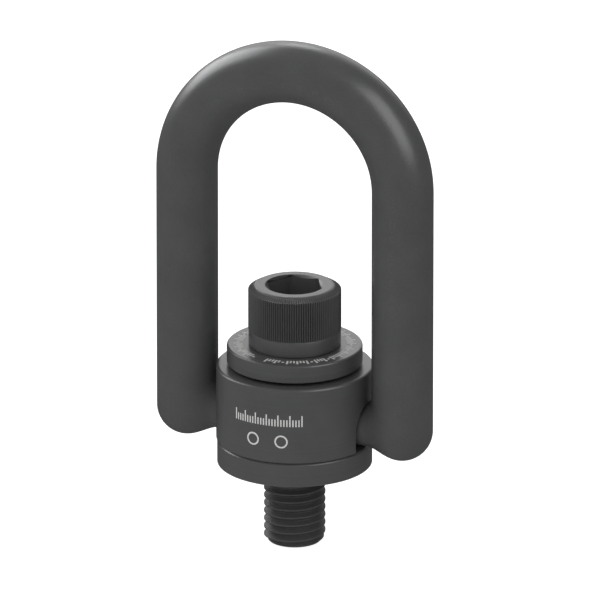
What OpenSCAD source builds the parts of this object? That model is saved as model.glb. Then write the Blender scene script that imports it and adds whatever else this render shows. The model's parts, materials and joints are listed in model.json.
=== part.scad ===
// Swivel hoist ring for a 3/4-10 screw.
//
// A flanged bushing is clamped to the load by a socket head cap screw and a thick load washer.
// The swivel body turns freely round the bushing, and the forged u-bar swings in the body's
// two side slots. The flange of the bushing closes the slots from below.
//
// Origin: centre of the bushing's mounting face. +Z runs up the screw axis to the crown of the
// u-bar, and X is the axis on which the u-bar swings. Lengths are in millimetres.

/* [Screw] */
// Outer diameter of the thread
thread_d = 19.05; // [18.9:0.05:19.1]
// Distance from one thread crest to the next
thread_pitch = 2.54; // [2:0.02:3]
// Length of thread below the mounting face
thread_reach = 25.9; // [16:0.1:60]
// Diameter of the plain grip inside the bushing
grip_d = 18.6; // [17.8:0.1:18.8]
// Diameter of the head over its knurl
head_d = 28.7; // [27:0.1:30]
// Height of the head
head_h = 19.25; // [17:0.1:22]
// Number of teeth in the straight knurl
knurl_teeth = 120; // [60:1:150]
// Width across the flats of the hexagon socket
socket_af = 15.875; // [13:0.125:16]
// Depth of the hexagon socket
socket_depth = 9.8; // [6:0.1:11]

/* [Load washer] */
// Outer diameter of the washer
washer_d = 41.9; // [34:0.25:46]
// Thickness of the washer
washer_t = 5.7; // [4:0.1:9]

/* [Bushing] */
// Outer diameter of the flange
flange_d = 47.9; // [44:0.1:50]
// Thickness of the flange
flange_t = 7.5; // [6.5:0.05:8]
// Outer diameter of the sleeve that the body turns on
sleeve_d = 25.4; // [24.6:0.1:25.4]

/* [Swivel body] */
// Outer diameter of the body
body_d = 48.5; // [46:0.1:49]
// Height of the body
body_h = 24.15; // [22:0.1:30]

/* [U-bar] */
// Diameter of the round bar
bar_d = 19.05; // [16:0.05:19.5]
// Distance between the centre lines of the two legs
leg_spacing = 70.4; // [69:0.1:90]
// Height of the top of the crown above the mounting face
crown_top = 136.3; // [125:0.1:170]
// Diameter of the trunnion at the end of each leg
trunnion_d = 12.6; // [12:0.1:12.8]
// Height of the trunnion axis above the mounting face
trunnion_z = 14.35; // [14.35:0.05:16]

/* [Retaining pins and ring] */
// Diameter of each pin that holds a trunnion
pin_d = 3; // [2.4:0.1:3]
// Distance of the pins from the screw axis, along the trunnion axis
pin_x = 17.5; // [17:0.1:18.5]
// Thickness of the ring that keeps the screw in the bushing
ring_t = 1.5; // [1.2:0.1:1.8]

/* [Hidden] */
$fn = 96;

// Finish colours: satin black oxide, with bright ground pins and a darker spring ring
oxide = "#404245";
oxide_dark = "#36383b";
pin_steel = "#8f9295";

// Fits
running_fit = 0.06;
body_lift = 0.15;
washer_gap = 0.95;
pin_fit = 0.01;

// Heights of the stack, from the mounting face up
body_z0 = flange_t + body_lift;
body_z1 = body_z0 + body_h;
washer_z0 = body_z1 + washer_gap;
washer_z1 = washer_z0 + washer_t;
head_z1 = washer_z1 + head_h;

// Screw
thread_r = thread_d / 2;
root_r = thread_r - 0.6134 * thread_pitch;
crest_half = thread_pitch / 16;
flank_run = (thread_r - root_r) * tan(30);
thread_count = floor(thread_reach / thread_pitch);
thread_tip_edge = 0.05;
grip_r = grip_d / 2;
grip_z0 = 0.5;
head_r = head_d / 2;
knurl_depth = 0.34;
core_r = head_r - knurl_depth - 0.1;
core_overlap = 1;
core_edge = 0.3;
plain_band_h = 5;
head_chamfer_h = 1.4;
head_chamfer_r = head_r - 2.65;
socket_corner_r = socket_af / 2 / cos(30);
socket_turn = -3;
socket_overcut = 1;
countersink_h = 0.75;
countersink_run = 1.3;
countersink_r = socket_corner_r - 0.1;
drill_depth = 2;
drill_tip_r = 0.5;
drill_r = socket_af / 2 - 0.4;
drill_overlap = 0.1;

// Bushing
bore_r = 9.6;
sleeve_r = sleeve_d / 2;
flange_r = flange_d / 2;
flange_edge = 0.55;
flange_foot_edge = 0.1;
counterbore_r = 12;
counterbore_h = 4.4;

// Retaining ring and the groove it snaps into
ring_z0 = 1.05;
ring_side_play = 0.05;
groove_r = 8.6;
ring_in_r = groove_r + 0.1;
ring_out_r = 11.2;
ring_gap_angle = 34;

// Swivel body
body_r = body_d / 2;
body_edge = 0.8;
body_foot_edge = 0.5;
slot_r = trunnion_d / 2 + running_fit;
slot_mouth_r = slot_r + 1.34;
slot_mouth_x = body_r - 1.95;

// U-bar
bar_r = bar_d / 2;
leg_x = leg_spacing / 2;
crown_z = crown_top - leg_x - bar_r;
trunnion_r = trunnion_d / 2;
trunnion_x0 = 13.3;
trunnion_edge = 0.6;
trunnion_groove_r = 5;
trunnion_groove_play = 0.05;
flare_x0 = body_r + 1.3;
flare_x1 = leg_x - bar_r / 2;
flare_r1 = 0.84 * bar_r;

// Trunnion pins
pin_r = pin_d / 2;
pin_y = trunnion_groove_r + 0.1 + pin_r;
pin_z0 = body_z0 + 0.3;
pin_len = 17.5;
pin_tip = 0.3;
pin_hole_z1 = pin_z0 + pin_len + 0.3;

// Turns children that stand on the Z axis so that they lie on the trunnion axis
module on_trunnion_axis() {
    translate([0, 0, trunnion_z])
        rotate([0, 90, 0])
            children();
}

// Repeats children on both ends of the trunnion axis
module both_sides() {
    children();
    mirror([1, 0, 0])
        children();
}

module flanged_bushing() {
    color(oxide)
        rotate_extrude()
            polygon([
                [counterbore_r, 0],
                [flange_r - flange_foot_edge, 0],
                [flange_r, flange_foot_edge],
                [flange_r, flange_t - flange_edge],
                [flange_r - flange_edge, flange_t],
                [sleeve_r, flange_t],
                [sleeve_r, washer_z0 - flange_edge],
                [sleeve_r - flange_edge, washer_z0],
                [bore_r, washer_z0],
                [bore_r, counterbore_h],
                [counterbore_r, counterbore_h]
            ]);
}

// Section of the body, turned round the screw axis
module body_section() {
    polygon([
        [sleeve_r + running_fit, body_z0],
        [body_r - body_foot_edge, body_z0],
        [body_r, body_z0 + body_foot_edge],
        [body_r, body_z1 - body_edge],
        [body_r - body_edge, body_z1],
        [sleeve_r + running_fit, body_z1]
    ]);
}

// Slot with a round top and an open bottom, from x0 outwards
module slot_cutter(r, x0) {
    on_trunnion_axis()
        translate([0, 0, x0])
            cylinder(r = r, h = body_r);
    translate([x0, -r, 0])
        cube([body_r, 2 * r, trunnion_z]);
}

module swivel_body() {
    color(oxide)
        difference() {
            rotate_extrude()
                body_section();
            both_sides() {
                slot_cutter(slot_r, sleeve_r / 2);
                slot_cutter(slot_mouth_r, slot_mouth_x);
                for (side = [-1, 1])
                    translate([pin_x, side * pin_y, 0])
                        cylinder(r = pin_r + pin_fit, h = pin_hole_z1);
            }
        }
}

// Trunnion with the groove that its two pins run in, flaring out to the ball foot
module trunnion() {
    groove_half = pin_r + trunnion_groove_play;
    on_trunnion_axis()
        rotate_extrude()
            polygon([
                [0, trunnion_x0],
                [trunnion_r - trunnion_edge, trunnion_x0],
                [trunnion_r, trunnion_x0 + trunnion_edge],
                [trunnion_r, pin_x - groove_half],
                [trunnion_groove_r, pin_x - groove_half],
                [trunnion_groove_r, pin_x + groove_half],
                [trunnion_r, pin_x + groove_half],
                [trunnion_r, flare_x0],
                [flare_r1, flare_x1],
                [0, leg_x]
            ]);
}

// Leg with its ball foot, turned round the leg's own axis
module leg() {
    translate([leg_x, 0, trunnion_z])
        rotate_extrude() {
            square([bar_r, crown_z - trunnion_z]);
            intersection() {
                circle(r = bar_r);
                translate([0, -2 * bar_r])
                    square(2 * bar_r);
            }
        }
}

module u_bar() {
    color(oxide)
        union() {
            translate([0, 0, crown_z])
                rotate([90, 0, 0])
                    rotate_extrude(angle = 180)
                        translate([leg_x, 0])
                            circle(r = bar_r);
            both_sides() {
                leg();
                trunnion();
            }
        }
}

module load_washer() {
    color(oxide)
        rotate_extrude()
            polygon([
                [bore_r, washer_z0],
                [washer_d / 2 - flange_edge / 2, washer_z0],
                [washer_d / 2, washer_z0 + flange_edge / 2],
                [washer_d / 2, washer_z1 - flange_edge],
                [washer_d / 2 - flange_edge, washer_z1],
                [bore_r, washer_z1]
            ]);
}

// Outline of one thread crest, from its upper root to its lower root
function crest(z) = [
    [root_r, z + crest_half + flank_run],
    [thread_r, z + crest_half],
    [thread_r, z - crest_half],
    [root_r, z - crest_half - flank_run]
];

// Grip, ring groove and thread. Each pitch of the thread is a ring with a true cylindrical crest.
module shank() {
    groove_z1 = ring_z0 + ring_t + ring_side_play;
    rotate_extrude()
        polygon(concat(
            [
                [0, washer_z1 + core_overlap],
                [grip_r, washer_z1 + core_overlap],
                [grip_r, groove_z1],
                [groove_r, groove_z1],
                [groove_r, ring_z0 - ring_side_play],
                [grip_r, ring_z0 - ring_side_play],
                [grip_r, grip_z0]
            ],
            [for (i = [1:thread_count]) each crest((0.5 - i) * thread_pitch)],
            [
                [root_r - thread_tip_edge, -thread_reach],
                [0, -thread_reach]
            ]
        ));
}

// Head without its socket: plain core with a chamfered top, and the knurled band round it
module head_blank() {
    translate([0, 0, washer_z1])
        rotate_extrude()
            polygon([
                [0, 0],
                [core_r - core_edge, 0],
                [core_r, core_edge],
                [core_r, head_h - head_chamfer_h],
                [head_chamfer_r, head_h],
                [0, head_h]
            ]);
    translate([0, 0, washer_z1 + plain_band_h])
        linear_extrude(height = head_h - plain_band_h - head_chamfer_h)
            polygon([
                for (i = [0:2 * knurl_teeth - 1])
                    let (r = i % 2 == 0 ? head_r : head_r - knurl_depth)
                        r * [cos(i * 180 / knurl_teeth), sin(i * 180 / knurl_teeth)]
            ]);
}

// Hexagon socket with a countersunk rim and a drilled bottom
module socket_cutter() {
    translate([0, 0, head_z1 - socket_depth]) {
        rotate([0, 0, socket_turn])
            cylinder(r = socket_corner_r, h = socket_depth + socket_overcut, $fn = 6);
        translate([0, 0, -drill_depth])
            cylinder(r1 = drill_tip_r, r2 = drill_r, h = drill_depth + drill_overlap);
    }
    translate([0, 0, head_z1 - countersink_h])
        cylinder(
            r1 = countersink_r - countersink_run,
            r2 = countersink_r + countersink_run,
            h = 2 * countersink_h
        );
}

module cap_screw() {
    color(oxide_dark)
        difference() {
            union() {
                head_blank();
                shank();
            }
            socket_cutter();
        }
}

module retaining_ring() {
    color(oxide_dark)
        rotate([0, 0, 90 + ring_gap_angle / 2])
            rotate_extrude(angle = 360 - ring_gap_angle)
                translate([ring_in_r, ring_z0])
                    square([ring_out_r - ring_in_r, ring_t]);
}

// Ground dowel pin with a small chamfer at both ends; side and end are 1 or -1
module trunnion_pin(side, end) {
    color(pin_steel)
        translate([side * pin_x, end * pin_y, pin_z0])
            rotate_extrude()
                polygon([
                    [0, 0],
                    [pin_r - pin_tip, 0],
                    [pin_r, pin_tip],
                    [pin_r, pin_len - pin_tip],
                    [pin_r - pin_tip, pin_len],
                    [0, pin_len]
                ]);
}

flanged_bushing();
swivel_body();
u_bar();
load_washer();
cap_screw();
retaining_ring();
trunnion_pin(1, -1);  // trunnion_pin_right_front
trunnion_pin(1, 1);  // trunnion_pin_right_rear
trunnion_pin(-1, -1);  // trunnion_pin_left_front
trunnion_pin(-1, 1);  // trunnion_pin_left_rear
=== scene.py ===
"""Swivel hoist ring: detailed meshes, materials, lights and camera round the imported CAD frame.

Shapes are worked out in millimetres, and new_piece() turns them into metres.
"""

import json
import math

import bmesh
import bpy
import numpy as np
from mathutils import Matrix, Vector


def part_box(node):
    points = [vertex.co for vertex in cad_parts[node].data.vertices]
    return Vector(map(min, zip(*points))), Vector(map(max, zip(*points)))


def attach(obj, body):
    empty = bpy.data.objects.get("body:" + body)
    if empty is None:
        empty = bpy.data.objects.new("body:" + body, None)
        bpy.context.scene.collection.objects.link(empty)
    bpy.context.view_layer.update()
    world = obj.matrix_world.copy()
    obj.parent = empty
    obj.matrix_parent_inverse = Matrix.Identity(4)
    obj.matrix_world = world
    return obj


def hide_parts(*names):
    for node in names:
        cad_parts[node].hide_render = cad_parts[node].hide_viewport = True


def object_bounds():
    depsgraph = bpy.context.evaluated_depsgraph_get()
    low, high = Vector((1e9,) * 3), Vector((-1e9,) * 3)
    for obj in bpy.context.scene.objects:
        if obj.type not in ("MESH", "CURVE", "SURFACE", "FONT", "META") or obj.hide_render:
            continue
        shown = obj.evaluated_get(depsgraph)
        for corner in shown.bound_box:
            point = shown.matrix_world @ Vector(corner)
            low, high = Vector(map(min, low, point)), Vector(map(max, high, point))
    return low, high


MM = 0.001
SHARP_ANGLE = math.radians(38)
WELD = 2e-4

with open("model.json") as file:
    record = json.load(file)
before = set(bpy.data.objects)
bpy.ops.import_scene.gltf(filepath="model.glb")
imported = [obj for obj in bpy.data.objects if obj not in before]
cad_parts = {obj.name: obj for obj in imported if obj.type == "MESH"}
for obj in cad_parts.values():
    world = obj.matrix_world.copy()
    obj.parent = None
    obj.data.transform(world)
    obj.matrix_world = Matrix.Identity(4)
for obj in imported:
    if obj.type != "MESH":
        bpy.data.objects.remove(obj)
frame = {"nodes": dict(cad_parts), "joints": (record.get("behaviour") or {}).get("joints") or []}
CAD_LOW, CAD_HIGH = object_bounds()


# ---- sizes from the frame


def box_mm(node):
    """Lowest and highest corner of a CAD node, in millimetres."""
    low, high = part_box(node)
    return np.array(low) / MM, np.array(high) / MM


def joint_height(name):
    """Height of a joint's centre, in millimetres."""
    for joint in frame["joints"]:
        if joint["name"] == name:
            return joint["pos_m"][2] / MM
    raise ValueError("no joint named " + name)


BODY_LOW, BODY_HIGH = box_mm("swivel_body")
BUSHING_HIGH = box_mm("flanged_bushing")[1]
WASHER_LOW, WASHER_HIGH = box_mm("load_washer")
SCREW_LOW, SCREW_HIGH = box_mm("cap_screw")
BAR_HIGH = box_mm("u_bar")[1]
RING_LOW, RING_HIGH = box_mm("retaining_ring")
PIVOT_Z = joint_height("bail_pivot")

BAR_R = BAR_HIGH[1]
LEG_X = BAR_HIGH[0] - BAR_R
CROWN_Z = BAR_HIGH[2] - LEG_X - BAR_R
BODY_R = BODY_HIGH[0]
FLANGE_R = BUSHING_HIGH[0]
HEAD_R = SCREW_HIGH[0]
PIN_NODES = sorted(name for name in frame["nodes"] if name.startswith("trunnion_pin"))

# sizes in millimetres that no node's box gives
FLANGE_TOP = 7.5
SLEEVE_R = 12.7
BORE_R = 9.6
TRUNNION_R = 6.3
COUNTERSINK_H = 0.75
COUNTERSINK_R = 9.065


# ---- mesh helpers


def smooth_piece(piece):
    """Smooth shading with sharp corners kept, and flat faces shaded flat."""
    mesh = piece.data
    mesh.shade_smooth()
    mesh.set_sharp_from_angle(angle=SHARP_ANGLE)
    normals = piece.modifiers.new("normals", "WEIGHTED_NORMAL")
    normals.keep_sharp = True
    apply_modifiers(piece)


def apply_modifiers(piece):
    bpy.context.view_layer.objects.active = piece
    for modifier in list(piece.modifiers):
        bpy.ops.object.modifier_apply(modifier=modifier.name)


PIECES = []


def scene_object(name, data):
    made = bpy.data.objects.new(name, data)
    bpy.context.scene.collection.objects.link(made)
    return made


def at_angle(radius, angle, z):
    """The point at a distance from the Z axis and an angle round it."""
    return radius * math.cos(angle), radius * math.sin(angle), z


def mesh_object(name, bm):
    """An object in the scene, from a mesh in millimetres that becomes metres."""
    bmesh.ops.remove_doubles(bm, verts=bm.verts, dist=WELD)
    bmesh.ops.recalc_face_normals(bm, faces=bm.faces)
    bmesh.ops.scale(bm, vec=(MM, MM, MM), verts=bm.verts)
    mesh = bpy.data.meshes.new(name)
    bm.to_mesh(mesh)
    bm.free()
    return scene_object(name, mesh)


def new_piece(name, bm, material, body, nodes=()):
    """Makes one piece, and says which body it rides on and which CAD nodes it stands for."""
    piece = mesh_object(name, bm)
    piece.data.materials.append(material)
    if nodes:
        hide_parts(*nodes)
    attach(piece, body)
    PIECES.append(piece)
    return piece


def add_grid(bm, rows, closed=False):
    """Adds a grid of quads through rows of points. A closed grid also joins each row's end to its start."""
    made = [[bm.verts.new(point) for point in row] for row in rows]
    for below, above in zip(made, made[1:]):
        count = len(below)
        last = count if closed else count - 1
        for i in range(last):
            j = (i + 1) % count
            bm.faces.new((below[i], below[j], above[j], above[i]))
    return made


def add_disc(bm, ring, centre):
    """Closes a ring of vertices with triangles to a centre point."""
    hub = bm.verts.new(centre)
    for i, vertex in enumerate(ring):
        bm.faces.new((vertex, ring[(i + 1) % len(ring)], hub))


def rounded(corners, steps=6):
    """A closed outline: each corner (r, z, radius) becomes an arc, or stays sharp where its radius is 0."""
    outline = []
    count = len(corners)
    for i, (r, z, radius) in enumerate(corners):
        corner = np.array([r, z], float)
        if radius == 0:
            outline.append(corner)
            continue
        back = np.array(corners[i - 1][:2]) - corner
        ahead = np.array(corners[(i + 1) % count][:2]) - corner
        back /= np.linalg.norm(back)
        ahead /= np.linalg.norm(ahead)
        half = math.acos(float(np.clip(back @ ahead, -1, 1))) / 2
        middle = (back + ahead) / np.linalg.norm(back + ahead)
        centre = corner + middle * radius / math.sin(half)
        start = corner + back * radius / math.tan(half) - centre
        end = corner + ahead * radius / math.tan(half) - centre
        first = math.atan2(start[1], start[0])
        turn = math.atan2(end[1], end[0]) - first
        turn = (turn + math.pi) % (2 * math.pi) - math.pi
        for k in range(steps + 1):
            angle = first + turn * k / steps
            outline.append(centre + radius * np.array([math.cos(angle), math.sin(angle)]))
    return outline


def spun(outline, angles):
    """Rows of points: the outline turned round the Z axis to each angle."""
    return [[at_angle(r, angle, z) for angle in angles] for r, z in outline]


def full_turn(count, start=0.0):
    return [start + 2 * math.pi * k / count for k in range(count)]


def quarter_turn(steps):
    return [math.radians(90 * k / steps) for k in range(steps + 1)]


def lathe(outline, count, on_axis=False, start=0.0):
    """A closed outline turned round the Z axis. on_axis says that it starts and ends on the axis."""
    bm = bmesh.new()
    angles = full_turn(count, start)
    if on_axis:
        rows = add_grid(bm, spun(outline[1:-1], angles), closed=True)
        add_disc(bm, rows[0], (0, 0, outline[0][1]))
        add_disc(bm, rows[-1], (0, 0, outline[-1][1]))
    else:
        add_grid(bm, spun(list(outline) + [outline[0]], angles), closed=True)
    return bm


def cut_or_join(piece, tool, operation):
    """Exact boolean of two closed pieces. The tool is used up."""
    change = piece.modifiers.new("boolean", "BOOLEAN")
    change.operation = operation
    change.solver = "EXACT"
    change.object = tool
    apply_modifiers(piece)
    bpy.data.objects.remove(tool)


# ---- materials

MOTTLE_SCALE = 95.0
STREAK_SCALE = 1400.0
TURNING_MARK_SCALE = 5200.0
WEAR_PATCH_SCALE = 420.0
WEAR_RADIUS = 0.6 * MM
# painted shade in narrow grooves: how far the occlusion test reaches, and the dark tone painted there
CAVITY_SHADE_REACH = 0.5 * MM
CAVITY_PAINTED_SHADE_TONE = (0.010, 0.010, 0.010)
# painted shade: the darker tone painted on the thread below the seat, mixed in by the share set below
THREAD_PAINTED_SHADE_TONE = (0.05, 0.05, 0.05)
# painted shade: the dark tone painted on the countersink's -X side
MOUTH_PAINTED_SHADE_TONE = (0.034, 0.034, 0.034)
THREAD_PAINTED_SHADE_SHARE = 0.5
THREAD_EXTRA_ROUGHNESS = 0.2
MOUTH_EXTRA_ROUGHNESS = 0.35
PLAIN_SPECULAR = 0.5
DULL_SPECULAR = 0.2


def new_material(name):
    material = bpy.data.materials.new(name)
    material.use_nodes = True
    tree = material.node_tree
    shader = tree.nodes["Principled BSDF"]
    return material, tree, shader


def object_position(tree):
    return tree.nodes.new("ShaderNodeTexCoord").outputs["Object"]


def add_noise(tree, vector, scale, detail=3.0, roughness=0.55):
    noise = tree.nodes.new("ShaderNodeTexNoise")
    noise.inputs["Scale"].default_value = scale
    noise.inputs["Detail"].default_value = detail
    noise.inputs["Roughness"].default_value = roughness
    tree.links.new(vector, noise.inputs["Vector"])
    return noise.outputs["Fac"]


def add_range(tree, value, from_low, from_high, to_low, to_high):
    fit = tree.nodes.new("ShaderNodeMapRange")
    limits = {"From Min": from_low, "From Max": from_high, "To Min": to_low, "To Max": to_high}
    for name, limit in limits.items():
        fit.inputs[name].default_value = limit
    tree.links.new(value, fit.inputs["Value"])
    return fit.outputs["Result"]


def add_wide_noise(tree, vector, scale, detail, roughness=0.55):
    """Noise stretched to fill 0 to 1."""
    return add_range(tree, add_noise(tree, vector, scale, detail, roughness), 0.3, 0.7, 0.0, 1.0)


def feed(tree, socket, value):
    """Gives a socket a number, a colour or another socket's output."""
    if isinstance(value, float):
        socket.default_value = value
    elif isinstance(value, tuple):
        socket.default_value = (*value, 1.0)
    else:
        tree.links.new(value, socket)


def add_math(tree, operation, first, second):
    node = tree.nodes.new("ShaderNodeMath")
    node.operation = operation
    feed(tree, node.inputs[0], first)
    feed(tree, node.inputs[1], second)
    return node.outputs["Value"]


def add_product(tree, first, second):
    return add_math(tree, "MULTIPLY", first, second)


def add_weighted(tree, base, value, weight):
    """base + value * weight."""
    return add_math(tree, "ADD", base, add_product(tree, value, weight))


def add_colour_mix(tree, factor, low, high):
    """Colour that goes from low to high with the factor."""
    mix = tree.nodes.new("ShaderNodeMix")
    mix.data_type = "RGBA"
    tree.links.new(factor, mix.inputs["Factor"])
    feed(tree, mix.inputs[6], low)
    feed(tree, mix.inputs[7], high)
    return mix.outputs[2]


def add_value_mix(tree, factor, low, high):
    """Number that goes from low to high with the factor."""
    mix = tree.nodes.new("ShaderNodeMix")
    tree.links.new(factor, mix.inputs[0])
    feed(tree, mix.inputs[2], low)
    feed(tree, mix.inputs[3], high)
    return mix.outputs[0]


def add_edge_wear(tree, position, amount):
    """0 on open faces and up to amount along worn outer edges, broken up by noise."""
    bevel = tree.nodes.new("ShaderNodeBevel")
    bevel.samples = 4
    bevel.inputs["Radius"].default_value = WEAR_RADIUS
    geometry = tree.nodes.new("ShaderNodeNewGeometry")
    dot = tree.nodes.new("ShaderNodeVectorMath")
    dot.operation = "DOT_PRODUCT"
    tree.links.new(bevel.outputs["Normal"], dot.inputs[0])
    tree.links.new(geometry.outputs["Normal"], dot.inputs[1])
    edge = add_range(tree, dot.outputs["Value"], 1.0, 0.93, 0.0, 1.0)
    patches = add_range(tree, add_noise(tree, position, WEAR_PATCH_SCALE), 0.38, 0.68, 0.25, 1.0)
    return add_product(tree, add_product(tree, edge, patches), amount)


def add_cavity_shade(tree):
    """Mask of painted shade: 1 on open faces and less in narrow grooves of the same piece, such as the knurl
    and the thread, found by ambient occlusion.
    """
    cavity = tree.nodes.new("ShaderNodeAmbientOcclusion")
    cavity.samples = 16
    cavity.only_local = True
    cavity.inputs["Distance"].default_value = CAVITY_SHADE_REACH
    return add_range(tree, cavity.outputs["AO"], 0.45, 0.92, 0.0, 1.0)


def add_bump(tree, shader, height, distance, strength):
    bump = tree.nodes.new("ShaderNodeBump")
    bump.inputs["Distance"].default_value = distance
    bump.inputs["Strength"].default_value = strength
    tree.links.new(height, bump.inputs["Height"])
    tree.links.new(bump.outputs["Normal"], shader.inputs["Normal"])


def split_axes(tree, vector):
    split = tree.nodes.new("ShaderNodeSeparateXYZ")
    tree.links.new(vector, split.inputs["Vector"])
    return split.outputs["X"], split.outputs["Y"], split.outputs["Z"]


def distance_from_axis(tree, position):
    x, y, _ = split_axes(tree, position)
    squares = add_math(tree, "ADD", add_product(tree, x, x), add_product(tree, y, y))
    return add_math(tree, "POWER", squares, 0.5)


def turned_position(tree, position):
    """(distance from the screw's axis, 0, height), so that noise runs in rings as turning marks do."""
    ring = tree.nodes.new("ShaderNodeCombineXYZ")
    tree.links.new(distance_from_axis(tree, position), ring.inputs["X"])
    tree.links.new(split_axes(tree, position)[2], ring.inputs["Z"])
    return ring.outputs["Vector"]


def below_seat(tree, position):
    """1 on the thread, which is below the seat, and 0 above it; this masks the thread's painted shade and
    its duller finish.
    """
    height = split_axes(tree, position)[2]
    return add_range(tree, height, -0.5 * MM, 0.5 * MM, 1.0, 0.0)


def socket_mouth_shade(tree, position):
    """Mask of painted shade: 1 on the -X side of the countersink, which the photograph shows dark, and
    slight on its other side.
    """
    x, _, z = split_axes(tree, position)
    rim = COUNTERSINK_R
    foot = SCREW_HIGH[2] - COUNTERSINK_H
    distance = distance_from_axis(tree, position)
    within = add_range(tree, distance, (rim + 0.03) * MM, (rim + 0.1) * MM, 1.0, 0.0)
    above = add_range(tree, z, (foot - 0.2) * MM, foot * MM, 0.0, 1.0)
    side = add_range(tree, x, -4.5 * MM, -3.0 * MM, 1.0, 0.1)
    return add_product(tree, add_product(tree, within, above), side)


def oxide_material(name, dark, light, worn, roughness, grain, bump, wear,
                   turned=False, metallic=0.35, recess_shade_and_dull=False):
    """Satin black oxide: mottled dark tone, fine grain, uneven roughness and lighter worn edges.

    turned adds rings of turning marks. The last option paints shade into grooves, the thread and the
    countersink's -X side, and dulls them.
    """
    material, tree, shader = new_material(name)
    position = object_position(tree)
    mottle = add_wide_noise(tree, position, MOTTLE_SCALE, 4.0)
    speckle = add_wide_noise(tree, position, grain, 2.0)
    fine = speckle
    height = speckle
    if turned:
        rings = turned_position(tree, position)
        fine = add_wide_noise(tree, rings, STREAK_SCALE, 2.0, 0.7)
        marks = add_noise(tree, rings, TURNING_MARK_SCALE, 2.0)
        height = add_weighted(tree, marks, speckle, 0.35)
    blend = add_product(tree, add_math(tree, "ADD", mottle, fine), 0.5)
    film = add_colour_mix(tree, blend, dark, light)
    film_roughness = add_range(tree, blend, 0.0, 1.0, *roughness)
    if recess_shade_and_dull:
        thread = below_seat(tree, position)
        mouth_shade = socket_mouth_shade(tree, position)
        # painted shade: the thread is painted darker, as if shaded under the flange
        film = add_colour_mix(tree, add_product(tree, thread, THREAD_PAINTED_SHADE_SHARE), film, THREAD_PAINTED_SHADE_TONE)
        # painted shade: narrow grooves of the knurl and thread are painted darker where occlusion finds them
        film = add_colour_mix(tree, add_cavity_shade(tree), CAVITY_PAINTED_SHADE_TONE, film)
        # painted shade: the countersink's -X side is painted dark
        film = add_colour_mix(tree, mouth_shade, film, MOUTH_PAINTED_SHADE_TONE)
        film_roughness = add_weighted(tree, film_roughness, thread, THREAD_EXTRA_ROUGHNESS)
        film_roughness = add_weighted(tree, film_roughness, mouth_shade, MOUTH_EXTRA_ROUGHNESS)
        dull = add_math(tree, "MAXIMUM", thread, mouth_shade)
        specular = add_range(tree, dull, 0.0, 1.0, PLAIN_SPECULAR, DULL_SPECULAR)
        tree.links.new(specular, shader.inputs["Specular IOR Level"])
    edge = add_edge_wear(tree, position, wear)
    tree.links.new(add_colour_mix(tree, edge, film, worn), shader.inputs["Base Color"])
    tree.links.new(film_roughness, shader.inputs["Roughness"])
    shader.inputs["Metallic"].default_value = metallic
    add_bump(tree, shader, height, *bump)
    return material


def etched_material():
    """Pale matt laser etching."""
    material, tree, shader = new_material("etched_mark")
    speckle = add_wide_noise(tree, object_position(tree), 3200.0, 2.0)
    tone = add_colour_mix(tree, speckle, (0.40, 0.40, 0.39), (0.56, 0.56, 0.55))
    tree.links.new(tone, shader.inputs["Base Color"])
    tree.links.new(add_range(tree, speckle, 0.0, 1.0, 0.55, 0.75), shader.inputs["Roughness"])
    add_bump(tree, shader, speckle, 0.02 * MM, 0.3)
    return material


FORGED = oxide_material(
    "black_oxide_forged", dark=(0.080, 0.081, 0.083), light=(0.100, 0.101, 0.102), worn=(0.15, 0.15, 0.148),
    roughness=(0.28, 0.36), grain=1900.0, bump=(0.04 * MM, 0.30), wear=0.4)
TURNED = oxide_material(
    "black_oxide_turned", dark=(0.082, 0.083, 0.085), light=(0.100, 0.101, 0.102), worn=(0.17, 0.17, 0.168),
    roughness=(0.28, 0.36), grain=2600.0, bump=(0.01 * MM, 0.25), wear=0.5, turned=True)
# the screw's finish has painted shade on its thread, in narrow grooves and on the countersink's -X side
SCREW = oxide_material(
    "black_oxide_screw", dark=(0.084, 0.0845, 0.086), light=(0.104, 0.1045, 0.106), worn=(0.15, 0.15, 0.148),
    roughness=(0.34, 0.42), grain=2600.0, bump=(0.004 * MM, 0.25), wear=0.1, recess_shade_and_dull=True)
SPRING = oxide_material(
    "spring_steel", dark=(0.10, 0.10, 0.104), light=(0.14, 0.14, 0.144), worn=(0.22, 0.22, 0.22),
    roughness=(0.34, 0.48), grain=2600.0, bump=(0.01 * MM, 0.30), wear=0.6)
GROUND = oxide_material(
    "ground_steel", dark=(0.36, 0.37, 0.38), light=(0.48, 0.49, 0.50), worn=(0.60, 0.60, 0.60),
    roughness=(0.20, 0.32), grain=2600.0, bump=(0.006 * MM, 0.30), wear=0.5, metallic=1.0)
ETCHED = etched_material()


# ---- bushing, washer, ring and pins

COUNTERBORE_R = 12.0
COUNTERBORE_H = 4.4
FLANGE_CHAMFER = 0.55
LATHE_STEPS = 192
RING_INNER_R = 8.7
RING_OUTER_R = 11.2
RING_GAP = math.radians(34)
RING_STEPS = 120
WIRE_ROUND = 0.3
PIN_ROUND = 0.3
# keeps the washer's underside off the bushing's top face
WASHER_LIFT = 0.01


def flanged_bushing():
    top = BUSHING_HIGH[2]
    outline = rounded([
        (COUNTERBORE_R, 0, 0.25),
        (FLANGE_R, 0, 0.12),
        (FLANGE_R, FLANGE_TOP - FLANGE_CHAMFER, 0.3),
        (FLANGE_R - FLANGE_CHAMFER, FLANGE_TOP, 0.3),
        (SLEEVE_R, FLANGE_TOP, 0.2),
        (SLEEVE_R, top, 0.5),
        (BORE_R, top, 0.3),
        (BORE_R, COUNTERBORE_H, 0.3),
        (COUNTERBORE_R, COUNTERBORE_H, 0.2),
    ])
    bm = lathe(outline, LATHE_STEPS)
    new_piece("bushing_turned", bm, TURNED, "bushing", ["flanged_bushing"])


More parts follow.
